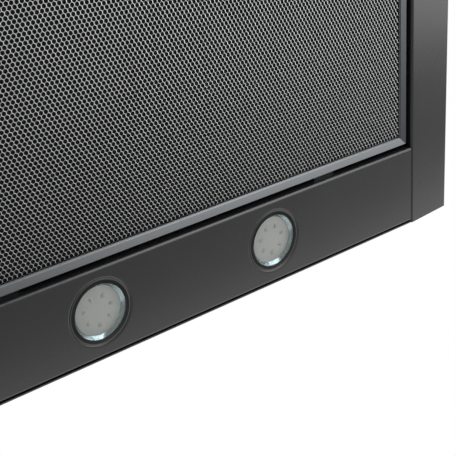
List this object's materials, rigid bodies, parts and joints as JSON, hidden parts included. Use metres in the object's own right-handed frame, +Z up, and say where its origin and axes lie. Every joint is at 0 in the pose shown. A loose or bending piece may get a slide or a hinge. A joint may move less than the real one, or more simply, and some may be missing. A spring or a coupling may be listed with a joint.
{
  "type": "extractor hood",
  "caption": "Slim extractor hood for mounting under a cabinet or shelf, with a hinged mesh grease filter, two round lamps, a side-entry blower and a top duct collar.",
  "frame": {"origin": "centre of the underside, half way between the button faces and the back panel", "axes": "+X to the right seen from the front, +Y towards the wall, +Z up towards the cabinet"},
  "size_m": [0.6, 0.5, 0.16],
  "materials": {
    "graphite_paint": "satin, fine texture",
    "anodised_rail": "satin anodised",
    "filter_mesh": "mill finish, expanded",
    "plated_steel": "zinc plated",
    "galvanised": "galvanised",
    "black_plastic": "fine matt",
    "grey_plastic": "satin",
    "pale_plastic": "satin",
    "lens_glass": "clear",
    "bright_reflector": "vacuum metallised",
    "light_board": "white solder resist",
    "cast_aluminium": "as cast",
    "motor_steel": "drawn",
    "rubber": "matt",
    "carbon": "granular"
  },
  "bodies": {
    "case": {"canopy_shell": "graphite_paint", "side_panel_left": "graphite_paint", "side_panel_right": "graphite_paint", "back_panel": "graphite_paint", "lamp_panel": "graphite_paint", "front_return": "graphite_paint", "panel_rivets": "plated_steel", "lamp_holder_left": "black_plastic", "lamp_lens_left": "lens_glass", "lamp_reflector_left": "bright_reflector", "lamp_board_left": "light_board", "lamp_back_left": "cast_aluminium", "lamp_holder_right": "black_plastic", "lamp_lens_right": "lens_glass", "lamp_reflector_right": "bright_reflector", "lamp_board_right": "light_board", "lamp_back_right": "cast_aluminium", "lamp_clips": "plated_steel", "blower_housing": "galvanised", "blower_inlet_plate": "galvanised", "motor_stator": "motor_steel", "motor_screws": "plated_steel", "blower_mounts": "rubber", "outlet_box": "galvanised", "duct_collar": "black_plastic", "collar_screws": "plated_steel", "flap_pin": "plated_steel", "switch_bezel": "black_plastic", "switch_block": "pale_plastic", "terminal_box": "pale_plastic", "capacitor": "pale_plastic", "lamp_driver": "pale_plastic", "cable_gland": "black_plastic"},
    "filter": {"filter_rail_front": "anodised_rail", "filter_rail_rear": "anodised_rail", "filter_rail_left": "anodised_rail", "filter_rail_right": "anodised_rail", "filter_mesh_outer": "filter_mesh", "filter_mesh_core": "filter_mesh", "filter_mesh_inner": "filter_mesh", "filter_tabs": "anodised_rail", "latch_housing": "black_plastic", "latch_spring": "plated_steel"},
    "latch": {"latch_slider": "grey_plastic"},
    "fan": {"fan_wheel": "black_plastic", "motor_rotor": "motor_steel", "motor_shaft": "plated_steel"},
    "cartridge": {"carbon_case": "black_plastic", "carbon_bed": "carbon"},
    "flap_left": {"flap_left": "grey_plastic"},
    "flap_right": {"flap_right": "grey_plastic"},
    "button_light": {"button_light": "grey_plastic"},
    "button_off": {"button_off": "grey_plastic"},
    "button_low": {"button_low": "grey_plastic"},
    "button_medium": {"button_medium": "grey_plastic"},
    "button_high": {"button_high": "grey_plastic"}
  },
  "joints": [
    {"name": "filter_swing", "type": "hinge", "parent": "case", "child": "filter", "pos_m": [0, 0.1776, 0.0087], "axis": [1, 0, 0], "range_deg": [0, 32]},
    {"name": "latch_pull", "type": "slide", "parent": "filter", "child": "latch", "axis": [0, 1, 0], "range_m": [0, 0.006], "stiffness_N_per_m": 250, "springref_m": -0.006, "deforming": ["latch_spring"]},
    {"name": "fan_spin", "type": "hinge", "parent": "case", "child": "fan", "pos_m": [-0.165, 0.085, 0.09], "axis": [0, 0, 1], "continuous": true},
    {"name": "cartridge_twist", "type": "hinge", "parent": "case", "child": "cartridge", "pos_m": [-0.165, 0.085, 0.02], "axis": [0, 0, 1], "range_deg": [0, 25]},
    {"name": "flap_left_swing", "type": "hinge", "parent": "case", "child": "flap_left", "pos_m": [0, 0.165, 0.132], "axis": [0, 1, 0], "range_deg": [0, 75]},
    {"name": "flap_right_swing", "type": "hinge", "parent": "case", "child": "flap_right", "pos_m": [0, 0.165, 0.132], "axis": [0, -1, 0], "range_deg": [0, 75]},
    {"name": "button_light_press", "type": "slide", "parent": "case", "child": "button_light", "axis": [0, 1, 0], "range_m": [0, 0.002], "stiffness_N_per_m": 300, "springref_m": -0.003},
    {"name": "button_off_press", "type": "slide", "parent": "case", "child": "button_off", "axis": [0, 1, 0], "range_m": [0, 0.002], "stiffness_N_per_m": 300, "springref_m": -0.003},
    {"name": "button_low_press", "type": "slide", "parent": "case", "child": "button_low", "axis": [0, 1, 0], "range_m": [0, 0.002], "stiffness_N_per_m": 300, "springref_m": -0.003},
    {"name": "button_medium_press", "type": "slide", "parent": "case", "child": "button_medium", "axis": [0, 1, 0], "range_m": [0, 0.002], "stiffness_N_per_m": 300, "springref_m": -0.003},
    {"name": "button_high_press", "type": "slide", "parent": "case", "child": "button_high", "axis": [0, 1, 0], "range_m": [0, 0.002], "stiffness_N_per_m": 300, "springref_m": -0.003}
  ]
}
